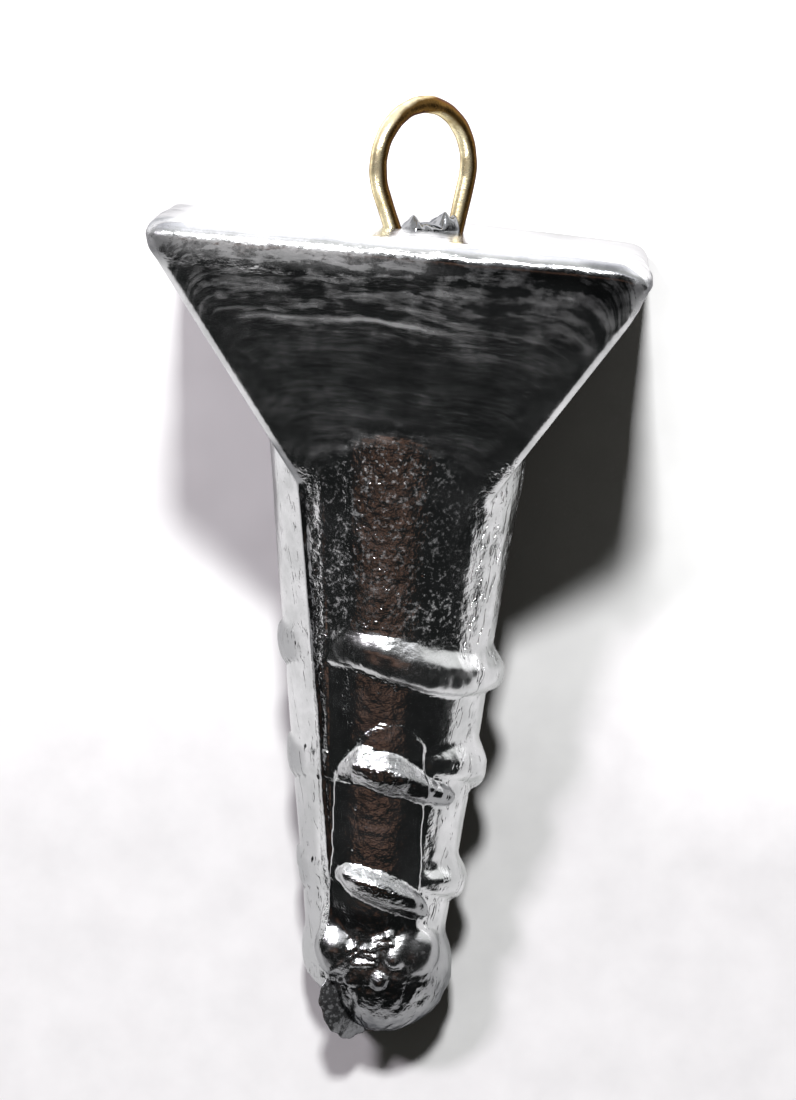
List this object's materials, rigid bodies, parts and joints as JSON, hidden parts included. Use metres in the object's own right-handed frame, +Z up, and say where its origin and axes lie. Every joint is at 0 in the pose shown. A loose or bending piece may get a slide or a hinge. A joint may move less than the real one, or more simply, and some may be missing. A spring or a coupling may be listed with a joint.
{
  "type": "pyramid fishing sinker",
  "caption": "Cast lead fishing weight with a square pyramid head on a ribbed round tapered shaft, and a bent brass wire eye in the head for tying on the line.",
  "frame": {"origin": "middle of the sinker's footprint, on the ground that it lies on", "axes": "+Z up, with the sinker lying on its back; +Y along the sinker towards the wire eye; +X to the right, seen from above with the eye away from the viewer"},
  "size_m": [0.0288, 0.0547, 0.0277],
  "materials": {
    "lead": "satin",
    "brass_wire": "gloss"
  },
  "bodies": {
    "root": {"lead_casting": "lead", "wire_eye": "brass_wire"}
  },
  "joints": []
}
